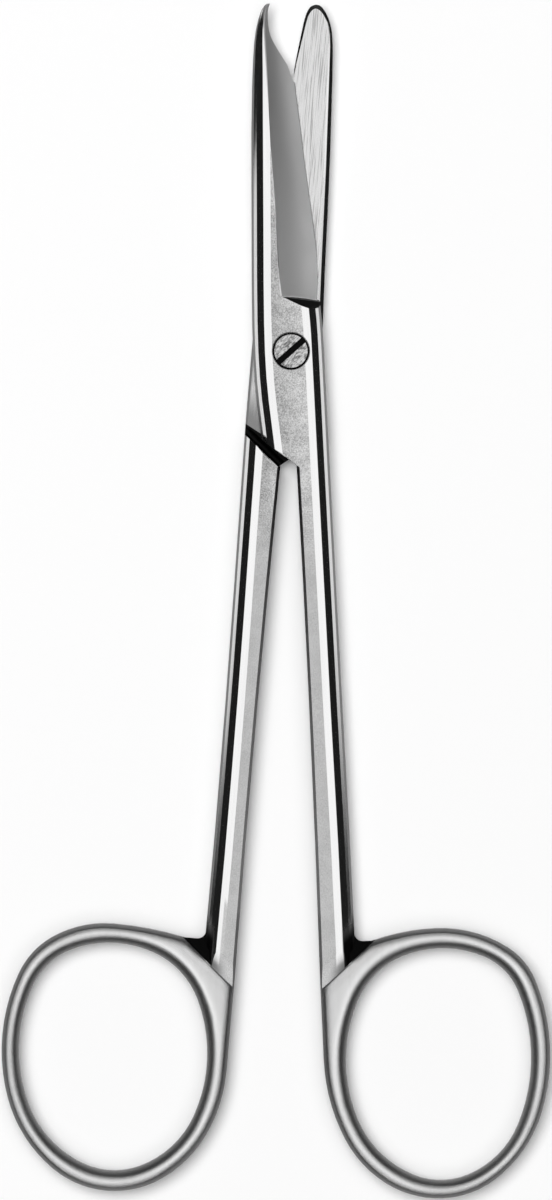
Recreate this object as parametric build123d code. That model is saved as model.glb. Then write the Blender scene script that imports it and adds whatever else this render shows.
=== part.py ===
from build123d import *
import math
import os

# Suture scissors with a hooked blade and a blunt blade, lying flat with the blades towards +Y.
# The origin is on the screw axis, in the plane of the underside. Each half is shaped in its own
# frame, in which the line that closes the handles is the Y axis, and is then turned to rest.

# Opening at rest and running gaps
rest_opening = 7.7
face_gap = 0.04
screw_gap = 0.03
thread_gap = 0.02
closed_gap = 0.05
head_gap = 0.09

# Heights of a half, from the plane between the two halves
lap_thickness = 2.2
shank_end_thickness = 1.62
ring_thickness = 1.75
blade_tip_share = 0.2

# Reach of the blades and the handles from the screw axis
blade_length = 40.75
crease_down = 74.7
ledge_reach = 6.3
lap_end_reach = 10.33
lap_end_angle = 231.0
shoulder_reach = 10.7
shoulder_angle = 39.3
groove_radius = 0.5
groove_bite = 0.95

# Forged shank: start of its taper, run past the crease, last station and number of stations
taper_start = 12.0
shank_overrun = 5.05
shank_first = crease_down + shank_overrun
shank_last = 14.6
shank_stations = 9

# Outline of the blade backs: share of the blade length, distance from the closing line
hook_back = [(-0.36, 3.6), (-0.22, 4.0), (-0.08, 4.38), (0.1, 4.36), (0.18, 4.25), (0.27, 4.1), (0.44, 3.8),
             (0.6, 3.52), (0.73, 3.22), (0.84, 2.87), (0.9, 2.58), (0.94, 2.24), (0.965, 1.92), (0.99, 1.42),
             (1.0, 1.0)]
blunt_back = [(-0.36, 3.4), (-0.22, 3.5), (-0.08, 3.55), (0.1, 3.41), (0.18, 3.24), (0.27, 3.07),
              (0.44, 2.79), (0.6, 2.47), (0.73, 2.15), (0.84, 1.87), (0.9, 1.63), (0.94, 1.29),
              (0.965, 0.87), (0.99, 0.2), (1.0, -0.2)]
# Cutting edges: share of the blade length, distance beyond the closing line
hook_edge = [(0.0, 3.79), (0.2, 3.62), (0.32, 3.34), (0.5, 2.68), (0.65, 2.22), (0.78, 1.6), (0.9, 1.15),
             (1.03, 0.3)]
blunt_edge = [(0.0, 4.45), (0.2, 4.2), (0.32, 3.95), (0.5, 3.5), (0.65, 3.07), (0.78, 2.74), (0.9, 2.76),
              (1.03, 3.0)]
# Ridge where the hollow grind meets the outer face: share of the blade length, distance from the back
grind_ridge = [(0.0, 3.83), (0.2, 3.25), (0.38, 2.8), (0.55, 2.35), (0.7, 1.95), (0.86, 1.45), (0.95, 0.8),
               (1.03, 0.2)]
# Hollow of the grind as a share of its chord, land left at the edge, lift of the wheel over the ridge
# line, and its run past both
grind_hollow = 0.035
edge_land = 0.06
grind_lift = 0.03
grind_lead = 1.5
grind_clear = 8.0
# Sloping wall that ends the grind: where it crosses the closing line, and the way it faces
ledge_skew = 1.45
ledge_foot = ledge_reach + ledge_skew
ledge_facing = (0.53, 1.0, 0.78)
ledge_round = 0.25

# Suture notch of the hooked blade and round tip of the blunt one: distance below the tip, distance across
notch_curve = [(0.0, -0.58), (0.37, -0.76), (1.45, -0.92), (2.1, -0.92), (3.05, -0.86), (3.9, -0.67),
               (4.87, -0.24), (6.08, 0.42), (7.2, 1.08)]
notch_corner = (7.56, 1.19)
notch_foot = (9.3, 1.78)
round_tip = [(3.2, -1.62), (1.6, -1.06), (0.75, -0.5), (0.27, -0.03), (0.06, 0.4), (0.07, 0.75), (0.21, 1.1),
             (0.55, 1.49), (1.3, 1.86), (2.7, 2.1), (3.95, 2.25), (5.7, 2.47), (6.9, 2.6), (9.2, 2.75)]
# Broken edge round the blunt tip: width at shares of its length, and depth
tip_break = [(0.0, 0.3), (0.2, 0.45), (0.35, 0.48), (1.0, 0.22)]
tip_break_depth = 0.2

# Facets along the outer edges: distance in from the edge, drop below the flat outer face
facets = [(2.25, 0.0), (1.4, 0.15), (0.62, 0.64), (0.27, 0.99), (0.0, 1.55)]
facet_fade = 4.5
fade_end = 1.02

# Outer side of shank, joint and ledge: place along the half, distance from the closing line
front_side = [(-80.0, 4.36), (-57.0, 4.27), (-43.0, 4.12), (-29.0, 4.02), (-15.0, 3.92), (-4.5, 3.86),
              (2.5, 3.84), (7.0, 3.57), (42.0, 3.57)]
back_side = [(-80.0, 3.92), (-57.0, 3.88), (-46.5, 3.94), (-39.5, 4.01), (-29.0, 4.17), (-22.0, 4.31),
             (-15.0, 4.42), (-8.0, 4.56), (0.0, 4.6), (42.0, 4.6)]
inner_hollow = 0.18
# Broken edges: width on the face, depth down the wall
shank_break = (0.33, 0.6)
lap_break = (0.3, 0.5)
spine_break = (0.45, 0.25)
# Narrow strip between the flat inner face and the broken spine: width, least drop, drop with thickness
spine_strip = (0.3, 0.03, 0.06)
lap_end_break = (0.12, 0.12)

# Finger rings: outer side and hole are chains of tangent arcs that turn clockwise, given by the heading
# at their start, the headings after each arc and their radii. The outer side runs from the crotch to the
# closing line, which it meets at a distance below the crease. The hole turns in equal steps from a start,
# given by its distances from the closing line and above the crease.
band_headings = [0.0, -35.0, -70.0, -110.0, -145.0, -180.0, -215.0, -245.0, -270.0]
front_band = [25.8, 14.56, 8.05, 22.88, 15.52, 10.81, 11.68, 13.38, 22.06]
front_band_lead = 16.81
front_band_drop = 8.21
back_band = [41.31, 12.53, 9.15, 21.47, 16.16, 11.34, 11.09, 14.16, 17.9]
back_band_lead = 11.56
back_band_drop = 9.69
hole_turn = 45.0
front_hole = [12.46, 7.45, 20.54, 10.81, 8.33, 12.04]
front_hole_lead = 19.93
front_hole_start = (9.73, 3.49)
back_hole = [12.61, 8.02, 18.31, 12.39, 8.6, 11.15]
back_hole_lead = 19.4
back_hole_start = (9.77, 3.33)
rim_break = (0.48, 0.68)
hole_rounding = 1.12
crease_angle = 39.8
crease_overlap = 0.6
crease_break = (0.2, 0.4)
# Soft dish where the shank runs down to the crease
dish_radius = 9.0
dish_depth = 0.26
dish_shift = 0.3

# Web in the crotch: round corner, half height at its outer edge, slope, reach and run up the shank
crotch_radius = 1.0
web_edge = 0.4
web_tilt = 24.0
web_facing = 62.0
web_reach = 1.0
web_depth = 0.9
web_run_up = 2.0

# Screw
head_diameter = 4.3
head_depth = 1.15
shoulder_diameter = 3.2
thread_diameter = 2.6
slot_width = 0.7
slot_depth = 0.62
slot_turn = 42.7
head_rim = 0.12
neck_overlap = 0.5

# Run of cutters beyond the part
over = 1.0
far = 40.0


def across(outline, place):
    """Distance across at a place along an outline, on straight stretches between its points."""
    for (s0, d0), (s1, d1) in zip(outline, outline[1:]):
        if s0 <= place <= s1:
            return d0 + (d1 - d0) * (place - s0) / (s1 - s0)
    return outline[0][1] if place < outline[0][0] else outline[-1][1]


def heading(degrees):
    """Direction in plan at an angle from the X axis."""
    turn = math.radians(degrees)
    return Vector(math.cos(turn), math.sin(turn))


def blade_height(share):
    """Height of the outer face over the plane between the halves, falling to a thin tip."""
    ledge = ledge_reach / blade_length
    along = min(max(share - ledge, 0.0) / (1.0 - ledge), 1.0)
    return lap_thickness * (blade_tip_share + (1.0 - blade_tip_share) * (1.0 - along ** 2) ** 0.8)


def facet_share(share):
    """Share of their full width that the facets keep at a share of the blade length."""
    return 1.0 - math.exp((share - fade_end) * blade_length / facet_fade)


def facet_drop(inset):
    """Drop of the faceted edge below the flat outer face at a distance in from the edge."""
    for (outer, high), (inner, low) in zip(facets, facets[1:]):
        if inner <= inset <= outer:
            return high + (low - high) * (outer - inset) / (outer - inner)
    return 0.0


def shank_height(down):
    """Height of the outer face of the shank over the middle plane, at a distance below the screw axis."""
    taper = (down - taper_start) / (shank_first - taper_start)
    return lap_thickness + (shank_end_thickness - lap_thickness) * taper


def blank_section(y, back, side, height, back_share, broken):
    """Section of a forged half across the closing line, the same above and below the middle plane."""
    scale = height / lap_thickness
    top = [(-back + inset * back_share, height - drop * scale) for inset, drop in reversed(facets)]
    top += [(side - inset, height - drop * scale) for inset, drop in facets]
    inner_x = -back + spine_break[0] * back_share * broken
    low = spine_strip[1] + spine_strip[2] * scale
    spine = [(-back, low + spine_break[1] * back_share), (inner_x, low)]
    middle = [(inner_x + spine_strip[0] * back_share * broken, 0.0)]
    upper = list(reversed(spine)) + top
    outline = upper + [(x, -z) for x, z in reversed(upper)] + middle
    return Wire.make_polygon([Vector(x, y, lap_thickness + z) for x, z in outline], close=True)


def forged_blank(back_line, side_line):
    """Blade, joint and shank of one half before its faces are ground away."""
    sections = []
    for step in range(shank_stations):
        down = shank_first - (step / shank_stations) * (shank_first - shank_last)
        sections.append(blank_section(
            -down, back_line[0][1], across(side_line, -down), shank_height(down), 1.0, False))
    for share, back in back_line:
        y = share * blade_length
        sections.append(blank_section(
            y, back, across(side_line, y), blade_height(share), facet_share(share), share > back_line[0][0]))
    return Solid.make_loft(sections, False)


def grind_cutter(back_line, edge_line):
    """Wheel path of the hollow grind, with everything beyond the cutting edge, ended by the ledge."""
    sections = []
    top = 3.0 * lap_thickness
    land = lap_thickness + edge_land
    for (share, inset), (_, edge) in zip(grind_ridge, edge_line):
        y = share * blade_length
        height = blade_height(share)
        ridge_x = inset - across(back_line, share)
        drop = facet_drop(inset / facet_share(share)) * height / lap_thickness
        ridge_z = lap_thickness + height - drop + grind_lift
        run, fall = edge - ridge_x, ridge_z - land
        middle = (ridge_x + run / 2 - grind_hollow * fall, y, land + fall / 2 - grind_hollow * run)
        hollow = Edge.make_three_point_arc((ridge_x, y, ridge_z), middle, (edge, y, land))
        lead = Vector(ridge_x, y, ridge_z) - hollow.tangent_at(0) * grind_lead
        outside = edge + grind_clear
        corners = [(edge, y, land), (edge, y, -over), (outside, y, -over), (outside, y, top),
                   (lead.X, y, top), (lead.X, y, lead.Z), (ridge_x, y, ridge_z)]
        sections.append(Wire([hollow] + [Edge.make_line(a, b) for a, b in zip(corners, corners[1:])]))
    wall = Plane(origin=(0, ledge_foot, lap_thickness), z_dir=ledge_facing)
    cutter = Solid.make_loft(sections, False).split(wall, Keep.TOP)
    wall_face = cutter.faces().sort_by_distance(wall.origin)[0]
    foot = wall_face.edges().filter_by(GeomType.LINE, reverse=True)
    return cutter.fillet(ledge_round, foot)


def arc_run(before, after):
    """Run of a clockwise arc of radius 1 that turns from one heading to another."""
    return heading(after + 90.0) - heading(before + 90.0)


def arc_chain(start, headings, radii):
    """Tangent arcs that turn clockwise from a start."""
    arcs = []
    for before, after, radius in zip(headings, headings[1:], radii):
        middle = start + arc_run(before, (before + after) / 2) * radius
        end = start + arc_run(before, after) * radius
        arcs.append(Edge.make_three_point_arc(start, middle, end))
        start = end
    return arcs


def chain_run(headings, radii):
    """Run of a whole chain of tangent arcs, from its start to its end."""
    run = Vector(0, 0)
    for before, after, radius in zip(headings, headings[1:], radii):
        run += arc_run(before, after) * radius
    return run


def band_side(lead, drop, radii):
    """Outer side of a ring band, from the crotch round to the closing line."""
    headings = [lead] + band_headings
    foot = Vector(closed_gap, -crease_down - drop)
    return arc_chain(foot - chain_run(headings, radii), headings, radii)


def hole_plan(start, lead, radii):
    """Plan of a ring hole. Two more arcs, found from the gap that is left, close it."""
    headings = [lead - hole_turn * step for step in range(len(radii) + 3)]
    gap = chain_run(headings, radii) * -1.0
    first = arc_run(headings[-3], headings[-2])
    second = arc_run(headings[-2], headings[-1])
    spread = first.cross(second).Z
    closing = [gap.cross(second).Z / spread, first.cross(gap).Z / spread]
    first_point = Vector(start[0], start[1] - crease_down)
    return Face(Wire(arc_chain(first_point, headings, radii + closing)))


def finger_ring(band, hole):
    """Band of one finger ring, with broken outer rims, a rounded hole and a broken edge along the crease."""
    low, high = lap_thickness - ring_thickness, lap_thickness + ring_thickness
    corner = Vector(closed_gap, -crease_down)
    crotch, foot = band[0] @ 0, band[-1] @ 1
    crease = (corner + crotch) * 0.5
    body = prism(Face(Wire(band + [Edge.make_line(foot, corner), Edge.make_line(corner, crotch)])), low, high)
    for end in (0, -1):
        face = body.faces().sort_by(Axis.Z)[end]
        edges = face.edges().sort_by_distance((crease.X, crease.Y, face.center().Z))
        body = body.chamfer(rim_break[0], rim_break[1], edges[1:], face)
    body -= prism(hole, low - over, high + over)
    holes = [wire for face in level_faces(body) for wire in face.inner_wires()]
    body = fillet([edge for wire in holes for edge in wire.edges()], hole_rounding)
    run = (crotch - corner).normalized() * over
    for face_z, down in ((high, True), (low, False)):
        body -= edge_bar(crotch + run, corner - run, face_z, crease_break, down)
    return body


def level_faces(body):
    """Top and bottom faces of an upright prism."""
    return body.faces().filter_by(Plane.XY)


def crotch_web(side_line, crotch):
    """Web that rounds the corner between the outer side of the shank and the ring, sloping outwards."""
    side = across(side_line, crotch.Y)
    foot_y = -crease_down + (side - closed_gap) * math.tan(math.radians(crease_angle))
    run_up_y = crotch.Y + web_run_up
    plan = make_face(Polyline(
        (side - web_depth, foot_y - web_depth),
        (across(side_line, run_up_y) - face_gap, run_up_y),
        (side, crotch.Y),
        (crotch.X + web_reach, crotch.Y),
        (crotch.X + web_reach, crotch.Y - web_reach),
        close=True,
    ))
    bend = plan.vertices().sort_by_distance((side, crotch.Y))[0]
    plan = fillet(bend, crotch_radius)
    web = prism(plan, lap_thickness - shank_end_thickness, lap_thickness + shank_end_thickness)
    rim = Vector(side, crotch.Y) + Vector(1, 1) * crotch_radius * (1 - math.sqrt(0.5))
    out = heading(web_facing) * math.tan(math.radians(web_tilt))
    for way in (1, -1):
        slope = Plane(origin=(rim.X, rim.Y, lap_thickness + way * web_edge), z_dir=(out.X, out.Y, way))
        web = web.split(slope, Keep.BOTTOM)
    return web


def prism(plan, low, high):
    """Upright prism on a plan face, between two heights."""
    return Pos(0, 0, low) * extrude(plan, high - low, dir=(0, 0, 1))


def half_plane(foot, out):
    """Large plan square beyond a straight line, from a point on the line and its direction out."""
    line = Vector(-out.Y, out.X)
    return make_face(Polyline(foot - line * far, foot + line * far, foot + line * far + out * 2 * far,
                              foot - line * far + out * 2 * far, close=True))


def closed_face(curve, corners):
    """Plan face bounded by a curve and by straight sides that follow it."""
    points = [curve @ 1] + [Vector(*corner) for corner in corners] + [curve @ 0]
    return Face(Wire([curve] + [Edge.make_line(a, b) for a, b in zip(points, points[1:])]))


def edge_bar(start, end, face_z, broken, down):
    """Bar that breaks the straight edge of a level face, with the part on the left of the line."""
    width, depth = broken
    along = (end - start).normalized()
    section = Plane(origin=(start.X, start.Y, face_z), x_dir=(along.Y, -along.X, 0), z_dir=along)
    depth = depth if down else -depth
    bar = make_face(section * Polyline((-2 * width, -depth), (width, 2 * depth), (width, -depth), close=True))
    return extrude(bar, (end - start).length, dir=along)


def hook_waste():
    """What the suture notch and the hooked tip leave out of the blade."""
    curve = Edge.make_spline([Vector(x, blade_length - down) for down, x in notch_curve])
    foot_y = blade_length - notch_foot[0]
    corners = [(notch_corner[1], blade_length - notch_corner[0]), (notch_foot[1], foot_y), (far, foot_y)]
    corners += [(far, blade_length + over), (notch_curve[0][1], blade_length + over)]
    plan = closed_face(curve, corners)
    return prism(plan, -over, 2 * lap_thickness + over)


def blunt_waste():
    """What the rounded tip leaves out of the blunt blade, wider at the broken edge of the inner face."""
    curve = Edge.make_spline([Vector(x, blade_length - down) for down, x in round_tip])
    rim = []
    for step in range(len(round_tip)):
        share = step / (len(round_tip) - 1)
        along = curve % share
        rim.append(curve @ share + Vector(along.Y, -along.X) * across(tip_break, share))
    top = blade_length + over
    plans = []
    for side in (curve, Edge.make_spline(rim)):
        plans.append(closed_face(side, [(far, (side @ 1).Y), (far, top), ((side @ 0).X, top)]))
    inner = lap_thickness + face_gap / 2
    broken = loft([Pos(0, 0, inner) * plans[1], Pos(0, 0, inner + tip_break_depth) * plans[0]], ruled=True)
    return prism(plans[0], -over, 2 * lap_thickness + over) + broken


def lap_end(blank):
    """Lap cut off obliquely behind the screw, and the inner side of the shank hollowed slightly."""
    out = heading(lap_end_angle)
    line = Vector(-out.Y, out.X)
    foot = out * lap_end_reach
    corner = foot + line * ((closed_gap - foot.X) / line.X)
    away = foot - line * far
    hollow_y = -0.5 * crease_down
    side = Edge.make_three_point_arc(
        (closed_gap, corner.Y), (closed_gap + inner_hollow, hollow_y), (closed_gap, -crease_down))
    blank -= prism(closed_face(side, [(closed_gap, -3 * far), (away.X, -3 * far), (away.X, away.Y)]),
                   -over, 2 * lap_thickness + over)
    wall = blank.faces().sort_by_distance((closed_gap + inner_hollow, hollow_y, lap_thickness))[0]
    long_edges = [edge for edge in wall.edges() if edge.length > far / 2]
    blank = blank.chamfer(shank_break[1], shank_break[0], long_edges, wall)
    return blank - edge_bar(away, corner, 2 * lap_thickness, lap_end_break, True)


def shank_end(blank):
    """Shank cut off inside the ring band, along the crease, and dished softly before it."""
    down = heading(crease_angle - 90.0)
    corner = Vector(closed_gap, -crease_down)
    foot = corner + down * crease_overlap
    blank -= prism(half_plane(foot, down), -over, 2 * lap_thickness + over)
    lowest = corner + down * dish_shift
    wheel = Rot(0, 0, crease_angle) * (Rot(0, 90, 0) * Cylinder(dish_radius, far))
    lift = shank_height(crease_down) - dish_depth + dish_radius
    for way in (1, -1):
        blank -= Pos(lowest.X, lowest.Y, lap_thickness + way * lift) * wheel
    return blank


def milled_lap(body, side):
    """Lap milled away up to the shoulder, with a round groove at its foot and its edges broken."""
    out = heading(shoulder_angle - 90.0)
    line = Vector(-out.Y, out.X)
    foot = out * shoulder_reach
    inner = lap_thickness + face_gap / 2
    body -= prism(half_plane(foot, -out), -over, inner)
    axis = foot - out * groove_radius * groove_bite
    bar = Rot(0, 0, shoulder_angle) * (Rot(0, 90, 0) * Cylinder(groove_radius, far))
    body -= Pos(axis.X, axis.Y, lap_thickness) * bar
    body -= edge_bar(foot + line * far, foot - line * far, 0.0, lap_end_break, False)
    corner = foot + line * ((side - foot.X) / line.X)
    return body - edge_bar(Vector(side, corner.Y + groove_radius), Vector(side, far), inner, lap_break, False)


def half(back_line, edge_line, waste, side_line, band, hole):
    """One half, in its own closed frame, with its outer face up, its handle at +X and its blade at -X."""
    blade = forged_blank(back_line, side_line) - grind_cutter(back_line, edge_line) - waste
    body = shank_end(lap_end(blade)) + finger_ring(band, hole) + crotch_web(side_line, band[0] @ 0)
    return milled_lap(body, across(side_line, 0.0))


def front_half():
    """Hooked half, with the counterbored screw hole, turned to its place at rest."""
    band = band_side(front_band_lead, front_band_drop, front_band)
    hole = hole_plan(front_hole_start, front_hole_lead, front_hole)
    body = half(hook_back, hook_edge, hook_waste(), front_side, band, hole)
    body -= Cylinder(shoulder_diameter / 2 + screw_gap, 4 * lap_thickness + over)
    floor = 2 * lap_thickness - head_depth
    body -= Pos(0, 0, floor + head_depth) * Cylinder(head_diameter / 2 + head_gap, 2 * head_depth)
    return Rot(0, 0, rest_opening / 2) * body


def back_half():
    """Blunt half, with the threaded hole, turned over and to its place at rest."""
    band = band_side(back_band_lead, back_band_drop, back_band)
    hole = hole_plan(back_hole_start, back_hole_lead, back_hole)
    body = half(blunt_back, blunt_edge, blunt_waste(), back_side, band, hole)
    body -= Cylinder(thread_diameter / 2 + thread_gap, 4 * lap_thickness + over)
    turned = Pos(0, 0, lap_thickness) * (Rot(0, 180, 0) * (Pos(0, 0, -lap_thickness) * body))
    return Rot(0, 0, -rest_opening / 2) * turned


def pivot_screw():
    """Screw with a slotted flat head let into the front half, a smooth neck and a threaded end."""
    top = 2 * lap_thickness
    seat = lap_thickness - face_gap / 2
    head_height = head_depth - screw_gap
    head = Pos(0, 0, top - head_height / 2) * Cylinder(head_diameter / 2, head_height)
    head = chamfer(head.faces().sort_by(Axis.Z)[-1].edges(), head_rim)
    neck_top = top - neck_overlap
    neck = Pos(0, 0, (seat + neck_top) / 2) * Cylinder(shoulder_diameter / 2, neck_top - seat)
    thread_top = seat + neck_overlap
    thread = Pos(0, 0, thread_top / 2) * Cylinder(thread_diameter / 2, thread_top)
    slot = Pos(0, 0, top) * (Rot(0, 0, slot_turn) * Box(2 * head_diameter, slot_width, 2 * slot_depth))
    return head + neck + thread - slot


if __name__ == "__main__":
    os.makedirs("parts", exist_ok=True)
    for name, maker in (("front_half", front_half), ("back_half", back_half), ("pivot_screw", pivot_screw)):
        shape = maker()
        print(name, shape.is_valid, round(shape.volume, 1), len(shape.solids()), len(shape.faces()))
        export_step(shape, "parts/" + name + ".step")
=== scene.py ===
import math

import bmesh
import bpy
from mathutils import Matrix

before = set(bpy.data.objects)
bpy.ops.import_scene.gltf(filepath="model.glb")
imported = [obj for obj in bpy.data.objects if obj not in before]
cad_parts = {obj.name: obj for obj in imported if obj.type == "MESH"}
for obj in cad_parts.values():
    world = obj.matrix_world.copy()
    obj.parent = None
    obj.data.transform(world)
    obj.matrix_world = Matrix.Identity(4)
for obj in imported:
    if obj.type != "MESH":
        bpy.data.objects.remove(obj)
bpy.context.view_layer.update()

# The hooked half: one forging of stainless steel, with blade, upper lap, shank and ring in one
# piece. Its facets are belt-ground and polished along their length, its flats and its hollow grind
# are satin, and its steep sides dull from blasting. Painted dark reflection darkens its steep
# sides and its rings off their crowns. Painted shade darkens its milled corner, its crotch, its
# ledge's lip and its inner face toward the shoulder, and grades its hollow grind toward the tip.
MM = 0.001
REST_TURN = math.radians(7.7 / 2)
RUNNING_FACE = 2.2 * MM
# Planes of one half, as the parts of the normal along X, Y and rise, and the offset
RIDGE = (1.0, 0.018, 0.0, 0.0)
LEDGE = (0.53, 1.0, 0.78, 7.75 * MM)
LEDGE_FOOT = (0.161, 1.0, 0.0, 6.2 * MM)
SHOULDER = (0.6334, -0.7738, 0.0, 0.0)
CREASE = (-0.6401, 0.7683, 0.0, -57.42 * MM)
BUFFED_ROUND = 1.9 * MM


def add(tree, kind, settings=None, **inputs):
    """Node of a kind: settings are its own fields, inputs are values or other nodes' outputs."""
    node = tree.nodes.new(kind)
    for field, value in (settings or {}).items():
        setattr(node, field, value)
    for key, value in inputs.items():
        place = int(key[1:]) if key[0] == "i" and key[1:].isdigit() else key.replace("_", " ")
        socket = node.inputs[place]
        if isinstance(value, bpy.types.NodeSocket):
            tree.links.new(value, socket)
        else:
            socket.default_value = value
    return node


def result_of(tree, how, a, b=0.0, c=0.0):
    """Result of one arithmetic step on up to three numbers or outputs."""
    return add(tree, "ShaderNodeMath", {"operation": how}, i0=a, i1=b, i2=c).outputs[0]


def all_of(tree, mask, *others):
    """Product of masks: the part that all of them cover."""
    for other in others:
        mask = result_of(tree, "MULTIPLY", mask, other)
    return mask


def any_of(tree, mask, *others):
    """Largest of masks: the part that any of them covers."""
    for other in others:
        mask = result_of(tree, "MAXIMUM", mask, other)
    return mask


def less(tree, whole, part):
    """What is left of a number or output without another."""
    return result_of(tree, "SUBTRACT", whole, part)


def size_of(tree, value):
    """Size of an output without its sign."""
    return result_of(tree, "ABSOLUTE", value)


def ramp(tree, value, low, high, at_low=0.0, at_high=1.0):
    """Number that goes smoothly from one value to another as an output passes two limits."""
    limits = {"From_Min": low, "From_Max": high, "To_Min": at_low, "To_Max": at_high}
    step = add(tree, "ShaderNodeMapRange", {"interpolation_type": "SMOOTHSTEP"}, Value=value,
               **limits)
    return step.outputs["Result"]


def fade(tree, value, low, high):
    """Mask that ends smoothly as an output passes two limits."""
    return ramp(tree, value, low, high, 1.0, 0.0)


def plane_side(tree, spot, plane):
    """Distance of a spot past a plane, in metres."""
    x_part, y_part, rise_part, offset = plane
    past = result_of(tree, "MULTIPLY_ADD", spot[0], x_part, -offset)
    past = result_of(tree, "MULTIPLY_ADD", spot[1], y_part, past)
    return result_of(tree, "MULTIPLY_ADD", spot[2], rise_part, past)


def streaks(tree, place, across, along):
    """Grinding marks: noise in lines that run along Y, with a width and a length in metres."""
    lines = (1.0 / across, 1.0 / along, 1.0 / across)
    stretched = add(tree, "ShaderNodeMapping", Vector=place, Scale=lines)
    noise = add(tree, "ShaderNodeTexNoise", Vector=stretched.outputs[0], Scale=1.0, Detail=3.0,
                Roughness=0.6)
    return noise.outputs["Fac"]


def grains(tree, place, size, detail=4.0):
    """Even grain of a size in metres."""
    noise = add(tree, "ShaderNodeTexNoise", Vector=place, Scale=1.0 / size, Detail=detail,
                Roughness=0.65)
    return noise.outputs["Fac"]


def mixed(tree, share, first, second):
    """Colour between two greys or outputs, by a share."""
    ends = [(grey, grey, grey, 1.0) if isinstance(grey, float) else grey
            for grey in (first, second)]
    mix = add(tree, "ShaderNodeMix", {"data_type": "RGBA"}, Factor=share, A=ends[0], B=ends[1])
    return mix.outputs["Result"]


def bare_steel(name):
    """New material of bare metal, with its tree and its shader."""
    material = bpy.data.materials.new(name)
    material.use_nodes = True
    tree = material.node_tree
    shader = tree.nodes["Principled BSDF"]
    shader.inputs["Metallic"].default_value = 1.0
    return material, tree, shader


def set_finish(tree, shader, tone, rough, bump):
    """Lead the tone, the roughness and the bump of a finish to its shader."""
    tree.links.new(rough, shader.inputs["Roughness"])
    tree.links.new(tone, shader.inputs["Base Color"])
    tree.links.new(bump.outputs[0], shader.inputs["Normal"])


def ledge_zones(tree, spot, past_ridge, outward):
    """Masks of the hollow grind, its satin part, its ledge's rounded foot and its ledge's lip."""
    past_ledge = plane_side(tree, spot, LEDGE)
    edge_side = all_of(tree, ramp(tree, past_ridge, -0.9 * MM, -0.7 * MM),
                       ramp(tree, spot[2], 0.03 * MM, 0.05 * MM), outward)
    hollow = all_of(tree, edge_side, ramp(tree, past_ledge, 0.03 * MM, 0.06 * MM))
    grind = all_of(tree, edge_side, ramp(tree, past_ledge, 0.28 * MM, 0.34 * MM))
    foot = all_of(tree, edge_side, ramp(tree, plane_side(tree, spot, LEDGE_FOOT), 0.0, 0.06 * MM))
    foot = all_of(tree, less(tree, foot, grind), ramp(tree, past_ledge, -0.06 * MM, -0.03 * MM))
    lip = all_of(tree, edge_side, fade(tree, size_of(tree, past_ledge), 0.03 * MM, 0.06 * MM))
    return hollow, grind, foot, any_of(tree, less(tree, lip, foot), 0.0)


def milled_corner_shade(tree, spot, reach, upright):
    """Mask of painted shade in the milled corner under the shoulder, fanning out inwards, with its
    groove.
    """
    fanned = result_of(tree, "MULTIPLY_ADD", less(tree, 4.5 * MM, spot[0]), 0.22, reach)
    corner = all_of(tree, ramp(tree, fanned, 9.70 * MM, 9.74 * MM),
                    fade(tree, reach, 10.69 * MM, 10.73 * MM),
                    fade(tree, spot[2], 0.55 * MM, 0.6 * MM),
                    fade(tree, size_of(tree, spot[2]), 2.06 * MM, 2.1 * MM))
    return less(tree, corner, upright)


def crotch_shade(tree, x, over_crease, on_shank):
    """Mask of painted shade in the crotch of shank and ring, and of the shade that fades along the
    crease.
    """
    crotch = all_of(tree, fade(tree, over_crease, 2.0 * MM, 4.6 * MM),
                    ramp(tree, x, 2.75 * MM, 3.05 * MM))
    shade = all_of(tree, ramp(tree, over_crease, 0.2 * MM, 1.9 * MM, 0.6, 0.0),
                   ramp(tree, x, 0.8 * MM, 2.8 * MM))
    return all_of(tree, any_of(tree, crotch, shade), on_shank)


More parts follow.
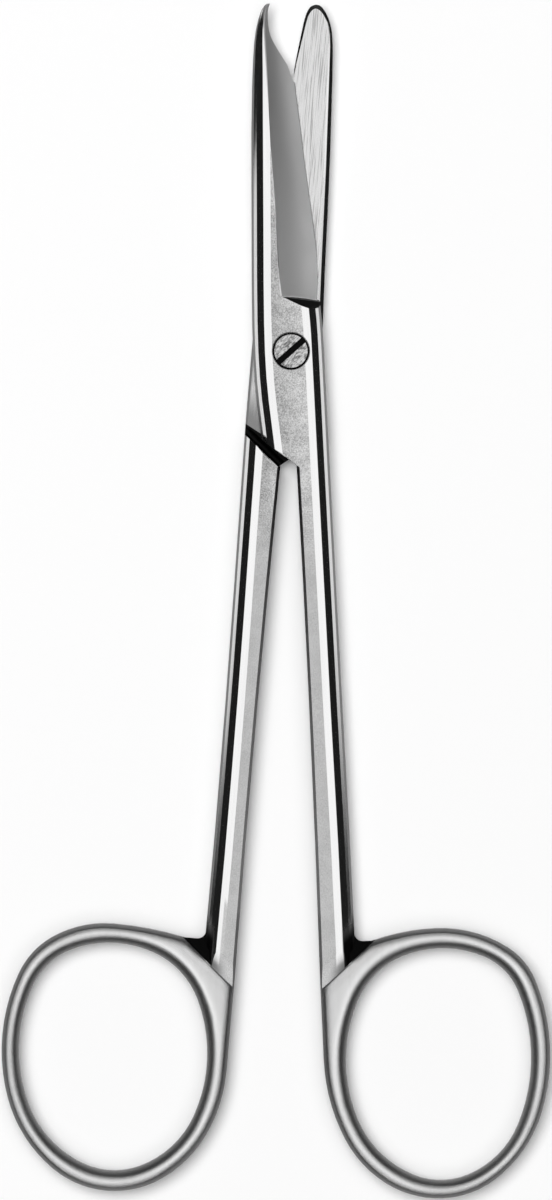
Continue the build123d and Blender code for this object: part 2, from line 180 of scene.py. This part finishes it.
def forged_steel(name, turn, flip):
    """Finish of one half: turn brings its closing line to Y, flip is -1 for the half face down."""
    material, tree, shader = bare_steel(name)
    where = add(tree, "ShaderNodeTexCoord")
    own = add(tree, "ShaderNodeMapping", Vector=where.outputs["Object"], Rotation=(0.0, 0.0, turn))
    place = own.outputs[0]
    parts = add(tree, "ShaderNodeSeparateXYZ", Vector=place).outputs
    x = all_of(tree, parts["X"], float(flip))
    rise = all_of(tree, less(tree, parts["Z"], RUNNING_FACE), float(flip))
    spot = (x, parts["Y"], rise)
    normal = add(tree, "ShaderNodeSeparateXYZ", Vector=where.outputs["Normal"]).outputs
    facing = size_of(tree, normal["Z"])
    upright = ramp(tree, size_of(tree, normal["X"]), 0.97, 0.99)
    outward = ramp(tree, all_of(tree, normal["Z"], float(flip)), 0.0, 0.1)

    # Zones: the ring and the shank, the level flats, the inner face, and the painted shade
    past_ridge = plane_side(tree, spot, RIDGE)
    reach = plane_side(tree, spot, SHOULDER)
    over_crease = plane_side(tree, spot, CREASE)
    on_shank = ramp(tree, over_crease, 0.0, 0.02 * MM)
    ring = less(tree, 1.0, on_shank)
    inner = fade(tree, size_of(tree, rise), 0.05 * MM, 0.1 * MM)
    hollow, grind, foot, lip = ledge_zones(tree, spot, past_ridge, outward)
    # Painted shade: the milled corner, the crotch and the ledge's lip are painted near black.
    dark = any_of(tree, milled_corner_shade(tree, spot, reach, upright),
                  crotch_shade(tree, x, over_crease, on_shank), lip)
    dished = all_of(tree, fade(tree, over_crease, 6.0 * MM, 7.0 * MM),
                    fade(tree, x, 1.95 * MM, 2.1 * MM))
    level = all_of(tree, any_of(tree, ramp(tree, facing, 0.990, 0.997), dished), on_shank,
                   less(tree, 1.0, hollow))
    satin = any_of(tree, level, grind)

    # The rings are buffed rounder along their edges than the rest, and painted dark reflection
    # darkens them off their crowns, so that only the crowns stay bright. The steep sides are
    # blasted dull after forging and never ground, and painted dark reflection darkens them too.
    buffed = add(tree, "ShaderNodeBevel", {"samples": 8},
                 Radius=all_of(tree, ring, BUFFED_ROUND)).outputs[0]
    crown = size_of(tree, add(tree, "ShaderNodeSeparateXYZ", Vector=buffed).outputs["Z"])
    off_crown_painted_dark = all_of(tree, fade(tree, crown, 0.95, 0.99), ring)
    steep_dull_and_painted_dark = any_of(tree, fade(tree, facing, 0.58, 0.64), off_crown_painted_dark)

    # Roughness: the polish alone, and what each zone and the fine grinding marks add to it
    fine = streaks(tree, place, 0.06 * MM, 4.0 * MM)
    rough = 0.08
    for zone, more in ((level, 0.14), (grind, 0.38), (foot, 0.38), (fine, 0.10), (ring, 0.03),
                       (dark, 0.30), (steep_dull_and_painted_dark, 0.30)):
        rough = result_of(tree, "MULTIPLY_ADD", zone, more, rough)

    # Tones: polished facets, speckled flats, scratched inner face with painted shade toward the
    # shoulder, hollow grind with painted shade, painted dark reflection on the sides, painted
    # shade
    polish = mixed(tree, streaks(tree, place, 0.45 * MM, 30.0 * MM), 0.74, 0.84)
    pits = grains(tree, place, 0.14 * MM)
    patches = grains(tree, place, 2.5 * MM, detail=3.0)
    speck = ramp(tree, result_of(tree, "MULTIPLY_ADD", patches, 0.4, pits), 0.5, 0.9)
    joint_flat = mixed(tree, ramp(tree, parts["X"], -2.5 * MM, 2.5 * MM),
                       mixed(tree, speck, 0.25, 0.69), mixed(tree, speck, 0.41, 0.86))
    speckled = mixed(tree, ramp(tree, parts["Y"], -26.0 * MM, -18.0 * MM),
                     mixed(tree, speck, 0.48, 0.61), joint_flat)
    scratches = ramp(tree, streaks(tree, place, 0.12 * MM, 6.0 * MM), 0.34, 0.52)
    # Painted shade: the inner face darkens toward the shoulder.
    scratched_and_shaded = mixed(tree, ramp(tree, reach, 5.0 * MM, 9.0 * MM),
                      mixed(tree, scratches, 0.44, 0.80), 0.27)
    # Painted shade: the hollow grind is darker toward the tip and lighter farther past the ridge.
    toward_tip = ramp(tree, parts["Y"], 6.0 * MM, 38.0 * MM)
    ground = mixed(tree, ramp(tree, past_ridge, -0.8 * MM, 2.8 * MM),
                   mixed(tree, toward_tip, 0.86, 0.54), mixed(tree, toward_tip, 1.0, 0.88))
    tone = mixed(tree, level, polish, mixed(tree, inner, speckled, scratched_and_shaded))
    tone = mixed(tree, any_of(tree, grind, foot), tone, ground)
    tone = mixed(tree, steep_dull_and_painted_dark, tone, mixed(tree, pits, 0.13, 0.27))
    tone = mixed(tree, dark, tone, 0.012)

    marks = result_of(tree, "MULTIPLY_ADD", pits, 0.5, fine)
    strength = result_of(tree, "MULTIPLY_ADD", satin, 0.25, 0.08)
    bump = add(tree, "ShaderNodeBump", Height=marks, Distance=0.01 * MM, Strength=strength,
               Normal=buffed)
    set_finish(tree, shader, tone, rough, bump)
    return material


def dress(node, material):
    """Give a CAD node one material in place of its own."""
    node.data.materials.clear()
    node.data.materials.append(material)


dress(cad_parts["front_half"], forged_steel("hooked half steel", -REST_TURN, 1))

# The blunt half: the other forging, the same way up to its round tip, lying face down under the
# hooked one, so that the ground inner face of its blade and its milled shoulder are seen.
dress(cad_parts["back_half"], forged_steel("blunt half steel", REST_TURN, -1))

# The pivot screw: turned from stainless steel, its slotted head let in flush with the joint. The
# facing tool left round marks on it, and its slot, its broken rim and all below its face are
# painted near black as shade.
SLOT_TURN = math.radians(42.7)
HEAD_RADIUS = 2.15 * MM
FACING_MARKS = 4200.0


def turned_steel(name):
    """Finish of a faced screw head, with fine rings about its axis."""
    material, tree, shader = bare_steel(name)
    where = add(tree, "ShaderNodeTexCoord").outputs["Object"]
    parts = add(tree, "ShaderNodeSeparateXYZ", Vector=where).outputs
    rings = add(tree, "ShaderNodeTexWave", {"wave_type": "RINGS", "rings_direction": "Z"},
                Vector=where, Scale=FACING_MARKS, Distortion=1.5, Detail=2.0)
    along_slot = add(tree, "ShaderNodeMapping", Vector=where, Rotation=(0.0, 0.0, -SLOT_TURN))
    along_slot = along_slot.outputs[0]
    aside = size_of(tree, add(tree, "ShaderNodeSeparateXYZ", Vector=along_slot).outputs["Y"])
    # Painted shade: the slot and all below the head's face are painted near black.
    sunk_shade = any_of(tree, fade(tree, parts["Z"], 4.2 * MM, 4.3 * MM),
                  fade(tree, aside, 0.35 * MM, 0.38 * MM))
    flat_place = add(tree, "ShaderNodeCombineXYZ", X=parts["X"], Y=parts["Y"]).outputs[0]
    out = add(tree, "ShaderNodeVectorMath", {"operation": "LENGTH"}, i0=flat_place)
    # Painted shadow: a band round the broken rim is painted near black.
    rim_shade = ramp(tree, out.outputs["Value"], HEAD_RADIUS - 0.24 * MM, HEAD_RADIUS - 0.19 * MM)

    blotches = grains(tree, where, 0.7 * MM)
    scrapes = streaks(tree, along_slot, 0.5 * MM, 0.16 * MM)
    worn = ramp(tree, result_of(tree, "ADD", blotches, scrapes), 0.8, 1.2)
    rough = result_of(tree, "MULTIPLY_ADD", blotches, 0.22, 0.16)
    tone = mixed(tree, any_of(tree, sunk_shade, rim_shade), mixed(tree, worn, 0.16, 0.72), 0.005)
    bump = add(tree, "ShaderNodeBump", Height=rings.outputs["Fac"], Distance=0.008 * MM,
               Strength=0.3)
    set_finish(tree, shader, tone, rough, bump)
    return material


dress(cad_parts["pivot_screw"], turned_steel("screw steel"))

# The table: a plain white board of coated card that the scissors lie on. It takes their soft
# shadow, and the lower facets of the polish show it.
BOARD_REACH = 3.0
BOARD_HEIGHT = -0.02 * MM
BOARD_WHITE = 0.98
board_mesh = bmesh.new()
bmesh.ops.create_grid(board_mesh, x_segments=1, y_segments=1, size=BOARD_REACH,
                      matrix=Matrix.Translation((0.0, 0.0, BOARD_HEIGHT)))
board_data = bpy.data.meshes.new("table")
board_mesh.to_mesh(board_data)
board_mesh.free()
table = bpy.data.objects.new("table", board_data)
bpy.context.scene.collection.objects.link(table)
white_board = bpy.data.materials.new("white board")
white_board.use_nodes = True
card = white_board.node_tree.nodes["Principled BSDF"].inputs
card["Base Color"].default_value = (BOARD_WHITE, BOARD_WHITE, BOARD_WHITE, 1.0)
card["Roughness"].default_value = 0.9
table.data.materials.append(white_board)

# The studio: a white softbox overhead, dark walls at middle height and a bright line low down all
# round, as one smooth sky that the polished steel shows, and one round lamp that lights the table.
LOW_LINE_LIGHT = 0.85
studio = bpy.data.worlds.new("studio")
studio.use_nodes = True
sky = studio.node_tree
bpy.context.scene.world = studio
direction = add(sky, "ShaderNodeTexCoord").outputs["Generated"]
toward = add(sky, "ShaderNodeSeparateXYZ", Vector=direction).outputs
from_zenith = result_of(sky, "ARCCOSINE", toward["Z"])


def sky_ring(first, last, at_first, at_last):
    """Light that changes smoothly between two angles from the zenith, in degrees."""
    return ramp(sky, from_zenith, math.radians(first), math.radians(last), at_first, at_last)


softbox = all_of(sky, sky_ring(4.0, 16.0, 0.74, 1.12), sky_ring(30.0, 40.0, 1.0, 0.0))
low_line = all_of(sky, sky_ring(79.0, 85.0, 0.0, 1.0), sky_ring(93.0, 99.0, 1.0, 0.0))
walls = ramp(sky, size_of(sky, toward["X"]), 0.2, 0.75, 0.035, 0.012)
light = result_of(sky, "ADD", softbox, walls)
light = result_of(sky, "MULTIPLY_ADD", low_line, LOW_LINE_LIGHT, light)
back = sky.nodes["Background"]
sky.links.new(light, back.inputs["Strength"])
back.inputs["Color"].default_value = (1.0, 1.0, 1.0, 1.0)

lamp_data = bpy.data.lights.new("overhead lamp", "AREA")
lamp_data.shape = "DISK"
lamp_data.size = 1.0
lamp_data.energy = 16.3
lamp = bpy.data.objects.new("overhead lamp", lamp_data)
lamp.location = (-0.25, 0.2, 1.5)
lamp.rotation_euler = (math.radians(-7.6), math.radians(-9.5), 0.0)
lamp.visible_glossy = False
bpy.context.scene.collection.objects.link(lamp)

# The camera: straight above the scissors on a long lens, turned slightly against them. Its view is
# as high as the photograph's frame is on the top of the joint.
CAMERA_HEIGHT = 0.9
VIEW_HEIGHT = 0.14002
JOINT_TOP = 4.4 * MM
camera_data = bpy.data.cameras.new("camera")
camera_data.sensor_width = 36.0
camera_data.lens = camera_data.sensor_width * CAMERA_HEIGHT / VIEW_HEIGHT
camera_data.clip_start = 0.01
camera_data.clip_end = 50.0
camera = bpy.data.objects.new("camera", camera_data)
camera.location = (-1.12 * MM, -29.08 * MM, CAMERA_HEIGHT + JOINT_TOP)
camera.rotation_euler = (0.0, 0.0, math.radians(1.235))
bpy.context.scene.collection.objects.link(camera)
bpy.context.scene.camera = camera
bpy.context.scene.view_settings.view_transform = "Standard"
